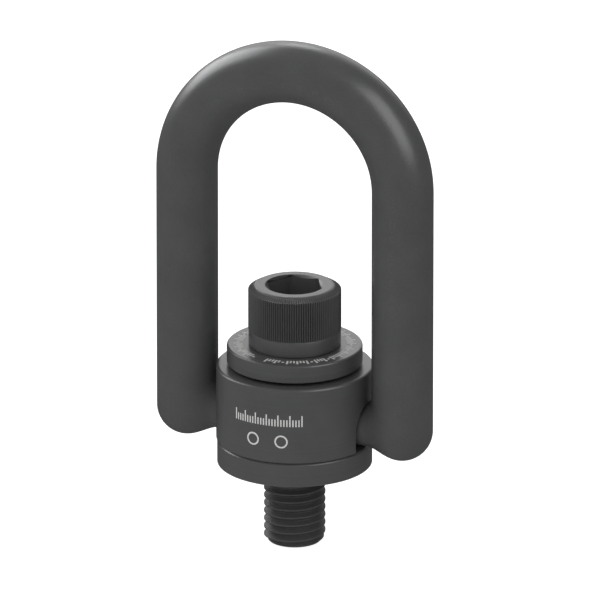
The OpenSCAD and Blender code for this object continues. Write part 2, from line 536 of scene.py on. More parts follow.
def load_washer():
    bottom = WASHER_LOW[2] + WASHER_LIFT
    top = WASHER_HIGH[2]
    radius = WASHER_HIGH[0]
    outline = rounded([
        (BORE_R, bottom, 0.3),
        (radius, bottom, 0.4),
        (radius, top, 0.7),
        (BORE_R, top, 0.3),
    ])
    bm = lathe(outline, LATHE_STEPS)
    new_piece("washer_turned", bm, TURNED, "load_washer", ["load_washer"])


def wire_stations(span, end_angle):
    """(angle from the ring's first end, size of the wire there): full size, and smaller at both ends."""
    stations = [(0.0, 0.6), (end_angle * 0.3, 0.86), (end_angle, 1.0)]
    stations += [(end_angle + (span - 2 * end_angle) * k / RING_STEPS, 1.0) for k in range(1, RING_STEPS)]
    stations += [(span - angle, size) for angle, size in reversed(stations[:3])]
    return stations


def retaining_ring():
    """Split ring of rounded square wire, with both ends rounded off."""
    low = RING_LOW[2]
    high = RING_HIGH[2]
    first = math.pi / 2 + RING_GAP / 2
    span = 2 * math.pi - RING_GAP
    middle_r = (RING_INNER_R + RING_OUTER_R) / 2
    middle_z = (low + high) / 2
    outline = rounded([
        (RING_INNER_R, low, WIRE_ROUND),
        (RING_OUTER_R, low, WIRE_ROUND),
        (RING_OUTER_R, high, WIRE_ROUND),
        (RING_INNER_R, high, WIRE_ROUND),
    ], steps=4)
    rows = []
    for along, size in wire_stations(span, WIRE_ROUND / middle_r):
        angle = first + along
        section = [(middle_r + (r - middle_r) * size, middle_z + (z - middle_z) * size) for r, z in outline]
        rows.append([at_angle(r, angle, z) for r, z in section])
    bm = bmesh.new()
    made = add_grid(bm, rows, closed=True)
    for ring, angle in ((made[0], first), (made[-1], first + span)):
        add_disc(bm, ring, at_angle(middle_r, angle, middle_z))
    new_piece("retaining_ring_wire", bm, SPRING, "retaining_ring", ["retaining_ring"])


def trunnion_pin(node):
    """Ground dowel pin with rounded ends, standing where the CAD pin stands."""
    low, high = box_mm(node)
    centre = (low + high) / 2
    radius = (high[0] - low[0]) / 2
    outline = rounded([
        (0, low[2], 0),
        (radius, low[2], PIN_ROUND),
        (radius, high[2], PIN_ROUND),
        (0, high[2], 0),
    ], steps=5)
    bm = lathe(outline, 48, on_axis=True)
    bmesh.ops.translate(bm, vec=(centre[0], centre[1], 0), verts=bm.verts)
    new_piece(node + "_ground", bm, GROUND, "swivel_body", [node])


# ---- swivel body

BODY_BORE_R = 12.76
BODY_TOP_ROUND = 0.85
BODY_FOOT_ROUND = 0.6
SLOT_R = 6.36
MOUTH_R = 7.7
MOUTH_X = BODY_R - 1.95
MOUTH_LIP = 0.35
BORE_LIP = 0.3
ARCH_STEPS = 20
LAND_STEPS = 40
WALL_STEPS = 8
SHOULDER_STEPS = 8
LAND_SHARES = [k / LAND_STEPS for k in range(LAND_STEPS + 1)]
PIN_HOLE_CLEARANCE = 0.01
PIN_HOLE_SHOULDER = 0.3
PIN_HOLE_POINT = 0.8


def wall_radius(z):
    """Radius of the body's outside wall, with its rounded foot."""
    above = z - BODY_LOW[2]
    if above >= BODY_FOOT_ROUND:
        return BODY_R
    share = 1 - above / BODY_FOOT_ROUND
    return BODY_R - BODY_FOOT_ROUND * (1 - math.sqrt(1 - share * share))


def slot_section(radius):
    """Half outline of a slot, (y, z) from the top of its arch round and down to the body's foot."""
    points = []
    for angle in reversed(quarter_turn(ARCH_STEPS)):
        points.append((radius * math.cos(angle), PIVOT_Z + radius * math.sin(angle)))
    heights = [PIVOT_Z - drop for drop in (1.5, 3.0, 4.5)]
    heights += [BODY_LOW[2] + BODY_FOOT_ROUND * share for share in (1.0, 0.7, 0.45, 0.25, 0.1, 0.0)]
    return points + [(radius, z) for z in heights]


def section_at_wall(radius, depth):
    """The slot's section at a depth below the outside wall."""
    return [(math.sqrt((wall_radius(z) - depth) ** 2 - y * y), y, z) for y, z in slot_section(radius)]


def section_at_bore(radius, depth):
    """The slot's section at a depth below the bore's wall."""
    return [(math.sqrt((BODY_BORE_R + depth) ** 2 - y * y), y, z) for y, z in slot_section(radius)]


def slot_rows():
    """Rows of (x, y, z) across the slot's half section, from the outside wall in to the bore."""
    rows = []
    for angle in quarter_turn(4):
        widening = MOUTH_LIP * (1 - math.sin(angle))
        rows.append(section_at_wall(MOUTH_R + widening, MOUTH_LIP * (1 - math.cos(angle))))
    # (radius, x) from the mouth over the eased step and along the slot
    inside = [
        (MOUTH_R, MOUTH_X + 0.3),
        (MOUTH_R - 0.09, MOUTH_X + 0.09),
        (MOUTH_R - 0.3, MOUTH_X),
        (SLOT_R + 0.2, MOUTH_X),
        (SLOT_R + 0.06, MOUTH_X - 0.06),
        (SLOT_R, MOUTH_X - 0.2),
    ]
    inside += [(SLOT_R, BODY_BORE_R + (MOUTH_X - BODY_BORE_R) * share) for share in (0.75, 0.5, 0.25)]
    rows += [[(x, y, z) for y, z in slot_section(radius)] for radius, x in inside]
    for angle in quarter_turn(3):
        widening = BORE_LIP * (1 - math.cos(angle))
        rows.append(section_at_bore(SLOT_R + widening, BORE_LIP * (1 - math.sin(angle))))
    return rows


def polar(x, y):
    return math.hypot(x, y), math.atan2(y, x)


def land_angle(start, share):
    """Angle on the land between the slots: share 0 is the slot's edge and 1 is the Y axis."""
    return start + (math.pi / 2 - start) * share


def land_point(radius, start, share, z):
    return at_angle(radius, land_angle(start, share), z)


def land_row(x, y, z):
    """Points from the slot's edge round the land to the Y axis."""
    radius, start = polar(x, y)
    return [land_point(radius, start, share, z) for share in LAND_SHARES]


def foot_patches(rows):
    """The bottom face, and the two walls beside the slot."""
    patches = [[land_row(*row[-1]) for row in rows]]
    for edge in (rows[0], rows[-1]):
        patches.append([land_row(*point) for point in edge[ARCH_STEPS:]])
    return patches


def wall_patch(edge, ceiling):
    """A wall above the slot's arch and the land, up to a height."""
    rises = [k / WALL_STEPS for k in range(WALL_STEPS + 1)]
    columns = []
    for x, y, z in edge[:ARCH_STEPS + 1]:
        columns.append([(x, y, z + (ceiling - z) * rise) for rise in rises])
    x, y, z = edge[ARCH_STEPS]
    radius, start = polar(x, y)
    for share in LAND_SHARES[1:]:
        columns.append([land_point(radius, start, share, z + (ceiling - z) * rise) for rise in rises])
    return columns


def edge_angles(edge):
    """Angles round Z, over the slot's arch and on across the land."""
    angles = [math.atan2(y, x) for x, y, _ in edge[:ARCH_STEPS + 1]]
    return angles + [land_angle(angles[-1], share) for share in LAND_SHARES[1:]]


def top_rings():
    """(radius, height, share of the way in) over the shoulder, the top face and the bore's lip."""
    top = BODY_HIGH[2]
    shoulder = top - BODY_TOP_ROUND
    face_out = BODY_R - BODY_TOP_ROUND
    face_in = BODY_BORE_R + BORE_LIP
    rings = []
    for angle in quarter_turn(SHOULDER_STEPS):
        radius = BODY_R - BODY_TOP_ROUND * (1 - math.cos(angle))
        rings.append((radius, shoulder + BODY_TOP_ROUND * math.sin(angle), 0.0))
    for share in (0.03, 0.2, 0.4, 0.6, 0.8, 0.97):
        rings.append((face_out + (face_in - face_out) * share, top, share))
    for angle in quarter_turn(4):
        radius = face_in - BORE_LIP * math.sin(angle)
        rings.append((radius, top - BORE_LIP * (1 - math.cos(angle)), 1.0))
    return rings


def top_patch(outer, inner):
    patch = []
    for radius, z, share in top_rings():
        pairs = zip(edge_angles(outer), edge_angles(inner))
        patch.append([at_angle(radius, a + (b - a) * share, z) for a, b in pairs])
    return patch


def body_quarter():
    """Patches of a quarter of the body, each a grid of (x, y, z) points."""
    rows = slot_rows()
    outer = rows[0]
    inner = rows[-1]
    patches = [rows] + foot_patches(rows)
    patches.append(wall_patch(outer, BODY_HIGH[2] - BODY_TOP_ROUND))
    patches.append(wall_patch(inner, BODY_HIGH[2] - BORE_LIP))
    patches.append(top_patch(outer, inner))
    return patches


def pin_holes():
    """The four blind holes that the trunnion pins stand in, as one scratch object."""
    bm = bmesh.new()
    floor = BODY_LOW[2] - 1
    for node in PIN_NODES:
        low, high = box_mm(node)
        x, y, _ = (low + high) / 2
        radius = (high[0] - low[0]) / 2 + PIN_HOLE_CLEARANCE
        wall = spun([(radius, floor), (radius, high[2] + PIN_HOLE_SHOULDER)], full_turn(48))
        placed = [[(x + dx, y + dy, z) for dx, dy, z in ring] for ring in wall]
        made = add_grid(bm, placed, closed=True)
        add_disc(bm, made[0], (x, y, floor))
        add_disc(bm, made[-1], (x, y, high[2] + PIN_HOLE_POINT))
    return mesh_object("pin_holes", bm)


def swivel_body():
    bm = bmesh.new()
    for patch in body_quarter():
        for x_sign in (1, -1):
            for y_sign in (1, -1):
                add_grid(bm, [[(x * x_sign, y * y_sign, z) for x, y, z in row] for row in patch])
    piece = new_piece("swivel_body_turned", bm, TURNED, "swivel_body", ["swivel_body"])
    cut_or_join(piece, pin_holes(), "DIFFERENCE")


# ---- forged u-bar

NECK_RING_X = (28.5, 25.5, 22.3)
NECK_END_X = 20.6
NECK_REACH = 14
FILLET_LOW = 3.0
FILLET_HIGH = 4.2
TRUNNION_END_X = 13.3
PIN_GROOVE_R = 5.0
PIN_GROOVE_PLAY = 0.05
LEG_FOOT = 10.5
LEG_STEPS = 7
CROWN_STEPS = 14
CAGE_SIDES = 8
CAGE_LEVELS = 3
PROJECT_ROUNDS = 6
SLOPE_STEP = 0.01


def bar_distance(points):
    """Signed distance to the bent bar with its ball feet."""
    x, y, z = np.abs(points[:, 0]), points[:, 1], points[:, 2]
    over = z - CROWN_Z
    arc = np.hypot(np.hypot(x, over) - LEG_X, y)
    drop = np.maximum(PIVOT_Z - z, 0)
    leg = np.sqrt((x - LEG_X) ** 2 + y * y + drop * drop)
    return np.where(over > 0, arc, leg) - BAR_R


def neck_distance(points):
    """Signed distance to the trunnions, each a rod that runs in from its leg."""
    y, z = points[:, 1], points[:, 2] - PIVOT_Z
    return np.hypot(y, z) - TRUNNION_R


def forged_distance(points):
    """Bar and trunnions with a forged fillet between them, larger above the trunnion."""
    bar = bar_distance(points)
    neck = neck_distance(points)
    height = np.clip((points[:, 2] - PIVOT_Z) / TRUNNION_R, 0, 1)
    fillet = FILLET_LOW + (FILLET_HIGH - FILLET_LOW) * height
    corner = np.hypot(np.maximum(fillet - bar, 0), np.maximum(fillet - neck, 0))
    joined = np.maximum(fillet, np.minimum(bar, neck)) - corner
    outside = np.abs(points[:, 0]) > LEG_X
    return np.where(outside | (points[:, 2] > PIVOT_Z + NECK_REACH), bar, joined)


def project(points):
    """Moves points onto the forged surface along its gradient."""
    for _ in range(PROJECT_ROUNDS):
        distance = forged_distance(points)
        slope = np.zeros_like(points)
        for axis in range(3):
            shift = np.zeros(3)
            shift[axis] = SLOPE_STEP
            rise = forged_distance(points + shift) - forged_distance(points - shift)
            slope[:, axis] = rise / (2 * SLOPE_STEP)
        size = np.maximum((slope ** 2).sum(1), 1e-6)
        points = points - slope * (distance / size)[:, None]
    return points


def bar_rings():
    """Cage rings along the bar from the right foot to the left: (centre, inward direction, radius)."""
    diagonal = BAR_R / math.sqrt(2)
    start = PIVOT_Z + LEG_FOOT
    heights = [(PIVOT_Z - diagonal, diagonal), (PIVOT_Z, BAR_R), (start, BAR_R)]
    heights += [(start + (CROWN_Z - start) * k / LEG_STEPS, BAR_R) for k in range(1, LEG_STEPS + 1)]
    right = [((LEG_X, 0, z), (-1, 0, 0), radius) for z, radius in heights]
    left = [((-LEG_X, 0, z), (1, 0, 0), radius) for z, radius in reversed(heights)]
    crown = []
    for k in range(1, CROWN_STEPS):
        angle = math.pi * k / CROWN_STEPS
        direction = (math.cos(angle), 0, math.sin(angle))
        centre = (LEG_X * direction[0], 0, CROWN_Z + LEG_X * direction[2])
        crown.append((centre, (-direction[0], 0, -direction[2]), BAR_R))
    return right + crown + left


def cage_ring(bm, centre, inward, radius):
    """A ring of vertices round the bar. The first is on the inside of the bend."""
    ring = []
    for angle in full_turn(CAGE_SIDES):
        along = radius * math.cos(angle)
        x = centre[0] + inward[0] * along
        z = centre[2] + inward[2] * along
        ring.append(bm.verts.new((x, radius * math.sin(angle), z)))
    return ring


def pivot_ring(bm, x, radius, angles):
    """A ring of vertices round the pivot's axis."""
    return [bm.verts.new((x, radius * math.cos(a), PIVOT_Z + radius * math.sin(a))) for a in angles]


def add_band(bm, ring, following, skipped=()):
    """Quads between two rings of vertices, without the skipped ones."""
    for i in range(len(ring)):
        if i not in skipped:
            j = (i + 1) % len(ring)
            bm.faces.new((ring[i], ring[j], following[j], following[i]))


def add_neck(bm, foot, middle, top, side):
    """Draws a neck towards the Z axis out of the opening beside three cage rings."""
    opening = [foot[0], foot[1], middle[1], top[1], top[0], top[7], middle[7], foot[7]]
    angles = full_turn(CAGE_SIDES, -math.pi / 2)
    for x in NECK_RING_X:
        ring = pivot_ring(bm, side * x, TRUNNION_R, angles)
        add_band(bm, opening, ring)
        opening = ring
    bmesh.ops.delete(bm, geom=[middle[0]], context="VERTS")


def bar_cage():
    """Eight-sided cage of the whole u-bar, open at the ends of its two necks."""
    bm = bmesh.new()
    rings = [cage_ring(bm, *ring) for ring in bar_rings()]
    last = len(rings) - 1
    for k in range(last):
        beside_neck = k in (0, 1, last - 2, last - 1)
        add_band(bm, rings[k], rings[k + 1], (7, 0) if beside_neck else ())
    for ring, side in ((rings[0], 1), (rings[-1], -1)):
        foot = bm.verts.new((side * LEG_X, 0, PIVOT_Z - BAR_R))
        for i in (0, 2, 4, 6):
            bm.faces.new((ring[i], ring[i + 1], ring[(i + 2) % CAGE_SIDES], foot))
    add_neck(bm, rings[0], rings[1], rings[2], 1)
    add_neck(bm, rings[-1], rings[-2], rings[-3], -1)
    bmesh.ops.recalc_face_normals(bm, faces=bm.faces)
    return bm


def subdivided(bm):
    """The cage after subdivision, as a new bmesh."""
    mesh = bpy.data.meshes.new("cage")
    bm.to_mesh(mesh)
    bm.free()
    cage = scene_object("cage", mesh)
    surface = cage.modifiers.new("surface", "SUBSURF")
    surface.levels = CAGE_LEVELS
    surface.render_levels = CAGE_LEVELS
    apply_modifiers(cage)
    result = bmesh.new()
    result.from_mesh(cage.data)
    bpy.data.objects.remove(cage)
    return result


def trunnion_stations():
    """(distance from the Z axis, radius) in along the trunnion, over the pin groove to its chamfered end."""
    low, high = box_mm(PIN_NODES[0])
    pin_x = abs(low[0] + high[0]) / 2
    half = (high[0] - low[0]) / 2 + PIN_GROOVE_PLAY
    ease = 0.15
    chamfer = 0.6
    shallow = 0.18
    return [
        (NECK_END_X, TRUNNION_R),
        (pin_x + half + ease, TRUNNION_R),
        (pin_x + half, TRUNNION_R - ease),
        (pin_x + half, PIN_GROOVE_R),
        (pin_x - half, PIN_GROOVE_R),
        (pin_x - half, TRUNNION_R - ease),
        (pin_x - half - ease, TRUNNION_R),
        (TRUNNION_END_X + chamfer, TRUNNION_R),
        (TRUNNION_END_X + shallow, TRUNNION_R - shallow),
        (TRUNNION_END_X, TRUNNION_R - chamfer),
        (TRUNNION_END_X, 3.0),
    ]


def close_trunnions(bm):
    """Carries each open neck on as the trunnion and closes its end."""
    rim = set()
    for edge in bm.edges:
        if edge.is_boundary:
            rim.update(edge.verts)
    for side in (1, -1):
        ring = [vertex for vertex in rim if vertex.co.x * side > 0]
        ring.sort(key=lambda v: math.atan2(v.co.z - PIVOT_Z, v.co.y))
        angles = [math.atan2(v.co.z - PIVOT_Z, v.co.y) for v in ring]
        for x, radius in trunnion_stations():
            following = pivot_ring(bm, side * x, radius, angles)
            add_band(bm, ring, following)
            ring = following
        add_disc(bm, ring, (side * TRUNNION_END_X, 0, PIVOT_Z))


def u_bar():
    bm = subdivided(bar_cage())
    points = project(np.array([vertex.co[:] for vertex in bm.verts]))
    for vertex, point in zip(bm.verts, points):
        vertex.co = point
    close_trunnions(bm)
    new_piece("u_bar_forging", bm, FORGED, "u_bar", ["u_bar"])


# ---- cap screw

THREAD_R = 9.525
THREAD_PITCH = 2.54
THREAD_ROOT_R = 7.967
THREAD_COLUMNS = 96
THREAD_TURNS = 14
GRIP_R = 9.3
RING_GROOVE_R = 8.6
RING_GROOVE_PLAY = 0.05
# not the thread's count, so that no two seams meet in the boolean
ENVELOPE_COLUMNS = 110
ENVELOPE_TURN = 0.013
RUN_OUT_TOP = 0.9
KNURL_TEETH = 120
KNURL_COLUMNS = 6
KNURL_DEPTH = 0.42
HEAD_COLUMNS = KNURL_TEETH * KNURL_COLUMNS
HEAD_TOP = SCREW_HIGH[2]
HEAD_FOOT = WASHER_HIGH[2]
HEAD_CHAMFER_H = 1.4
HEAD_FLAT_R = HEAD_R - 2.65
HEAD_CHAMFER_RUN = HEAD_R - HEAD_FLAT_R
PLAIN_BAND_H = 5.0
PLAIN_BAND_R = HEAD_R - 0.12
KNURL_FOOT = HEAD_FOOT + PLAIN_BAND_H
SOCKET_AF = 15.875
SOCKET_FLOOR = HEAD_TOP - 9.8
SOCKET_TURN = math.radians(-3.0)
SOCKET_CORNER_CUT = 0.12
COUNTERSINK_SLOPE = COUNTERSINK_H / 1.3


def hexagon_radius(angle):
    """Radius of the socket's wall at an angle, with slightly rounded corners."""
    sector = math.pi / 3
    turn = (angle - SOCKET_TURN + sector / 2) % sector - sector / 2
    to_flat = abs(abs(turn) - sector / 2)
    radius = SOCKET_AF / 2 / math.cos(to_flat)
    corner = SOCKET_AF / 2 / math.cos(sector / 2)
    return min(radius, corner - SOCKET_CORNER_CUT)


def knurl_radius(column):
    """Radius over the knurl: rounded crests and narrower grooves."""
    phase = (column % KNURL_COLUMNS) / KNURL_COLUMNS
    wave = abs(2 * phase - 1)
    return HEAD_R - KNURL_DEPTH * (1 - wave) ** 0.8


def circle(radius, z):
    return [(radius, z)] * HEAD_COLUMNS


def socket_rows():
    """From the socket's drilled bottom up its wall, and over the countersink to the flat top."""
    hexagon = [hexagon_radius(angle) for angle in full_turn(HEAD_COLUMNS)]
    floor = SOCKET_FLOOR
    wall_foot = floor + 0.15
    rows = [circle(0.5, floor - 2.0), circle(SOCKET_AF / 2 - 0.6, floor - 0.12)]
    rows.append(circle(SOCKET_AF / 2 - 0.4, floor))
    for inset, z in ((0.12, floor), (0.03, floor + 0.04), (0.0, wall_foot)):
        rows.append([(r - inset, z) for r in hexagon])
    rim = []
    for r in hexagon:
        drop = (COUNTERSINK_R - min(r, COUNTERSINK_R)) * COUNTERSINK_SLOPE
        rim.append((r, HEAD_TOP - drop - 0.05))
    for share in (0.25, 0.5, 0.75, 0.97):
        rows.append([(r, wall_foot + (z - wall_foot) * share) for r, z in rim])
    rows.append(rim)
    ease = 0.03
    rows.append([(r + 2 * ease, min(z + 2 * ease, HEAD_TOP - ease)) for r, z in rim])
    cone_edge = [max(COUNTERSINK_R, r) + ease for r in hexagon]
    rows.append([(r, HEAD_TOP - ease) for r in cone_edge])
    flat_edge = 0.08
    for share in (0.0, 0.35, 0.7):
        rows.append([(r + flat_edge + (HEAD_FLAT_R - 0.2 - r) * share, HEAD_TOP) for r in cone_edge])
    return rows


def chamfer_rows(grooves):
    """From the flat top down the head's chamfer, which the knurl's grooves run out into."""
    rows = [circle(HEAD_FLAT_R - 0.12, HEAD_TOP), circle(HEAD_FLAT_R + 0.02, HEAD_TOP - 0.03)]
    rows.append(circle(HEAD_FLAT_R + HEAD_CHAMFER_RUN * 0.08, HEAD_TOP - HEAD_CHAMFER_H * 0.08))
    normal_r = 0.47
    normal_z = 0.88
    for share, cut in ((0.2, 0.0), (0.32, 0.7), (0.5, 0.9), (0.66, 1.0), (0.78, 1.0)):
        r = HEAD_FLAT_R + HEAD_CHAMFER_RUN * share
        z = HEAD_TOP - HEAD_CHAMFER_H * share
        rows.append([(r - groove * cut * normal_r, z - groove * cut * normal_z) for groove in grooves])
    return rows


def knurl_rows(profile, grooves):
    """From the chamfer's edge down the knurl to the plain band."""
    rows = []
    edge = [HEAD_TOP - HEAD_CHAMFER_H * ((r - HEAD_FLAT_R) / HEAD_CHAMFER_RUN) for r in profile]
    for inset, lift, sink in ((0.08, 0.035, 0.7), (0.0, -0.06, 0.9)):
        rows.append([(r - inset, z + lift - groove * sink) for r, z, groove in zip(profile, edge, grooves)])
    upper = HEAD_TOP - HEAD_CHAMFER_H - 0.3
    lower = KNURL_FOOT + 0.3
    for share in (0.0, 0.25, 0.5, 0.75, 1.0):
        rows.append([(r, upper + (lower - upper) * share) for r in profile])
    rows.append([(r + (PLAIN_BAND_R - 0.06 - r) * 0.55, KNURL_FOOT + 0.1) for r in profile])
    return rows


def band_rows():
    """Down the plain band and round its foot to the head's underside."""
    band_top = KNURL_FOOT - 0.16
    rows = [circle(PLAIN_BAND_R - 0.05, KNURL_FOOT - 0.04)]
    for share in (0.0, 0.5, 1.0):
        rows.append(circle(PLAIN_BAND_R, band_top - (PLAIN_BAND_H - 0.7) * share))
    for inset, rise in ((0.09, 0.22), (0.3, 0.05), (0.55, 0.0)):
        rows.append(circle(PLAIN_BAND_R - inset, HEAD_FOOT + rise))
    return rows


def grip_rows():
    """From the head's underside down the grip and into the thread's core."""
    ease = 0.15
    low = RING_LOW[2] - RING_GROOVE_PLAY
    high = RING_HIGH[2] + RING_GROOVE_PLAY
    outline = [
        (GRIP_R + 0.28, HEAD_FOOT),
        (GRIP_R + 0.08, HEAD_FOOT - 0.08),
        (GRIP_R, HEAD_FOOT - 0.6),
        (GRIP_R, high + ease),
        (GRIP_R - ease, high),
        (RING_GROOVE_R, high),
        (RING_GROOVE_R, low),
        (GRIP_R - ease, low),
        (GRIP_R, low - ease),
        (GRIP_R, 0.6),
        (GRIP_R - 0.6, 0.25),
        (THREAD_ROOT_R - 0.6, 0.0),
    ]
    return [circle(r, z) for r, z in outline]


def screw_rows():
    """Rows of points over the screw above its thread, from the bottom of the socket."""
    profile = [knurl_radius(column) for column in range(HEAD_COLUMNS)]
    grooves = [(HEAD_R - r) * 0.6 for r in profile]
    rows = socket_rows() + chamfer_rows(grooves) + knurl_rows(profile, grooves) + band_rows() + grip_rows()
    angles = full_turn(HEAD_COLUMNS)
    return [[at_angle(r, angle, z) for (r, z), angle in zip(row, angles)] for row in rows]


def thread_profile():
    """One pitch of the thread, (height, radius) up from the middle of a crest."""
    depth = THREAD_R - THREAD_ROOT_R
    crest = THREAD_PITCH / 16
    flank = depth * math.tan(math.radians(30))
    root = THREAD_PITCH / 2 - crest - flank
    half = [
        (0.0, THREAD_R),
        (crest * 1.15, THREAD_R),
        (crest * 1.5, THREAD_R - 0.06),
        (crest + flank * 0.5, THREAD_R - depth * 0.5),
        (crest + flank - 0.1, THREAD_ROOT_R + 0.2),
        (crest + flank + root * 0.5, THREAD_ROOT_R + 0.03),
        (THREAD_PITCH / 2, THREAD_ROOT_R),
    ]
    return half + [(THREAD_PITCH - z, r) for z, r in reversed(half[1:-1])]


def thread_rod():
    """Right-hand helical thread as one closed rod, longer than needed at both ends."""
    profile = thread_profile()
    per_turn = len(profile)
    bottom = -THREAD_PITCH * (THREAD_TURNS - 2)
    top = bottom + THREAD_PITCH * THREAD_TURNS
    strip = []
    for turn in range(THREAD_TURNS):
        strip += [(bottom + turn * THREAD_PITCH + z, r) for z, r in profile]
    strip.append((top, THREAD_R))
    bm = bmesh.new()
    columns = []
    for k, angle in enumerate(full_turn(THREAD_COLUMNS)):
        lift = THREAD_PITCH * k / THREAD_COLUMNS
        columns.append([bm.verts.new(at_angle(r, angle, z + lift)) for z, r in strip])
    first = columns[0]
    last = columns[-1]
    # the last column meets the first one a whole turn further up
    for near, far in zip(columns, columns[1:] + [first[per_turn:]]):
        for i in range(len(far) - 1):
            bm.faces.new((near[i], far[i], far[i + 1], near[i + 1]))
    lowest = [column[0] for column in columns]
    highest = [column[-1] for column in columns]
    add_disc(bm, lowest + first[per_turn:0:-1], (0, 0, bottom - 2))
    add_disc(bm, highest + last[-2:-2 - per_turn:-1], (0, 0, top + 4))
    return bm


def thread_envelope():
    """What is kept of the long rod: pointed end below, and a run-out above."""
    tip = SCREW_LOW[2]
    outside = THREAD_R + 0.2
    outline = [
        (0, tip),
        (THREAD_ROOT_R - 0.05, tip),
        (THREAD_ROOT_R + 0.09, tip + 0.06),
        (outside, tip + 1.7),
        (outside, -0.3),
        (GRIP_R - 0.3, RUN_OUT_TOP),
        (0, RUN_OUT_TOP),
    ]
    return lathe(outline, ENVELOPE_COLUMNS, on_axis=True, start=ENVELOPE_TURN)


def cap_screw():
    bm = bmesh.new()
    rows = add_grid(bm, screw_rows(), closed=True)
    add_disc(bm, rows[0], (0, 0, SOCKET_FLOOR - 2.15))
    add_disc(bm, rows[-1], (0, 0, 0))
    thread = mesh_object("thread", thread_rod())
    cut_or_join(thread, mesh_object("envelope", thread_envelope()), "INTERSECT")
    piece = new_piece("cap_screw_knurled", bm, SCREW, "cap_screw", ["cap_screw"])
    cut_or_join(piece, thread, "UNION")


# ---- etched and raised marks

ETCH_PROUD = 0.015
ETCH_SUNK = 0.06
BOSS_H = 0.10
BOSS_RIM = 0.03
BOSS_SUNK = 0.12


def add_plate(bm, place, rows, closed=False):
    """Thin closed plate. rows hold (u, v) points and place(u, v, w) puts them on a surface, w out of it."""
    faces = [[place(u, v, ETCH_PROUD) for u, v in row] for row in rows]
    backs = [[place(u, v, -ETCH_SUNK) for u, v in row] for row in rows]
    add_grid(bm, faces, closed)
    add_grid(bm, backs, closed)
    for end in (0, -1):
        add_grid(bm, [faces[end], backs[end]], closed)
    if not closed:
        for side in (0, -1):
            add_grid(bm, [[row[side] for row in faces], [row[side] for row in backs]])


def bar_rows(u0, u1, v0, v1):
    middle = (u0 + u1) / 2
    return [[(u, v) for u in (u0, middle, u1)] for v in (v0, v1)]


def ring_rows(u, v, u_scale, inner, outer):
    """An upright ring round (u, v); u_scale turns millimetres into the surface's own u."""
    rows = []
    for radius in (inner, outer):
        rows.append([
            (u + radius * math.cos(a) * u_scale, v + radius * math.sin(a)) for a in full_turn(40)])
    return rows


def add_dot(bm, place, u, v, u_scale, radius):
    """A thin closed disc round (u, v)."""
    rims = []
    for out in (ETCH_PROUD, -ETCH_SUNK):
        rims.append([
            place(u + radius * math.cos(a) * u_scale, v + radius * math.sin(a), out) for a in full_turn(20)])
    made = add_grid(bm, rims, closed=True)
    add_disc(bm, made[0], place(u, v, ETCH_PROUD))
    add_disc(bm, made[1], place(u, v, -ETCH_SUNK))


def body_marks():
    """Plain graduation and two plain rings, etched where the photographed body has its markings."""
    def place(angle, z, out):
        return at_angle(BODY_R + out, angle, z)

    bm = bmesh.new()
    per_mm = 1 / BODY_R
    scale_start = -117.5
    scale_step = 2.2
    half = 0.21 * per_mm
    foot = BODY_LOW[2] + 12.2
    for k in range(25):
        angle = math.radians(scale_start + scale_step * k)
        height = 3.6 if k % 4 == 0 else 2.2
        add_plate(bm, place, bar_rows(angle - half, angle + half, foot, foot + height))
    ring_z = BODY_LOW[2] + 7.2
    for turn in (-102, -80):
        add_plate(bm, place, ring_rows(math.radians(turn), ring_z, per_mm, 1.6, 2.1), closed=True)
    new_piece("body_etched_marks", bm, ETCHED, "swivel_body")


def washer_marks():
    """Groups of plain radial ticks with a dot between groups, round the washer's top face."""
    top = WASHER_HIGH[2]

    def place(angle, radius, out):
        return at_angle(radius, angle, top + out)

    bm = bmesh.new()
    middle = 17.5
    inner = middle - 1.45
    tick = math.radians(3.4)
    half = 0.30 / middle
    angle = math.radians(-100)
    for group in (5, 7, 4, 8, 3, 6, 5, 9, 4, 6, 7, 5, 5, 6):
        for k in range(group):
            length = 2.9 if k % 3 == 0 else 1.9
            add_plate(bm, place, bar_rows(angle - half, angle + half, inner, inner + length))
            angle += tick
        add_dot(bm, place, angle + tick * 0.3, middle, 1 / middle, 0.45)
        angle += tick * 1.6
    new_piece("washer_etched_marks", bm, ETCHED, "load_washer")


def add_boss(bm, place, u, v, u_half, v_half):
    """Low rounded boss over an ellipse, closed underneath."""
    def ellipse(share, out):
        return [
            place(u + u_half * share * math.cos(a), v + v_half * share * math.sin(a), out)
            for a in full_turn(24)]

    rings = [ellipse(1.0, -BOSS_SUNK)]
    for share in (1.0, 0.93, 0.8, 0.6, 0.3):
        rings.append(ellipse(share, BOSS_H * (1 - share ** 4) - BOSS_RIM))
    made = add_grid(bm, rings, closed=True)
    add_disc(bm, made[0], place(u, v, -BOSS_SUNK))
    add_disc(bm, made[-1], place(u, v, BOSS_H - BOSS_RIM))


def raised_marks():
    """Faint dots and dashes on the crown and the right leg, where the real forging has raised lettering."""
    def on_crown(angle, side, out):
        radius = LEG_X + (BAR_R + out) * math.sin(side)
        return radius * math.cos(angle), -(BAR_R + out) * math.cos(side), CROWN_Z + radius * math.sin(angle)

    def on_leg(z, side, out):
        return LEG_X + (BAR_R + out) * math.sin(side), -(BAR_R + out) * math.cos(side), z

    bm = bmesh.new()
    dash = 2.0
    dot = 1.1
    tilt = math.radians(-8)
    for k in range(11):
        angle = math.radians(140 - 8.4 * k)
        length = dash if k % 4 == 1 else dot
        add_boss(bm, on_crown, angle, tilt, length / LEG_X, dot / BAR_R)
    for k in range(8):
        length = dash if k % 3 == 1 else dot
        add_boss(bm, on_leg, CROWN_Z - 2 - 4.8 * k, 0.0, length, dot / BAR_R)
    new_piece("u_bar_raised_marks", bm, FORGED, "u_bar")


# ---- stage, lights and camera

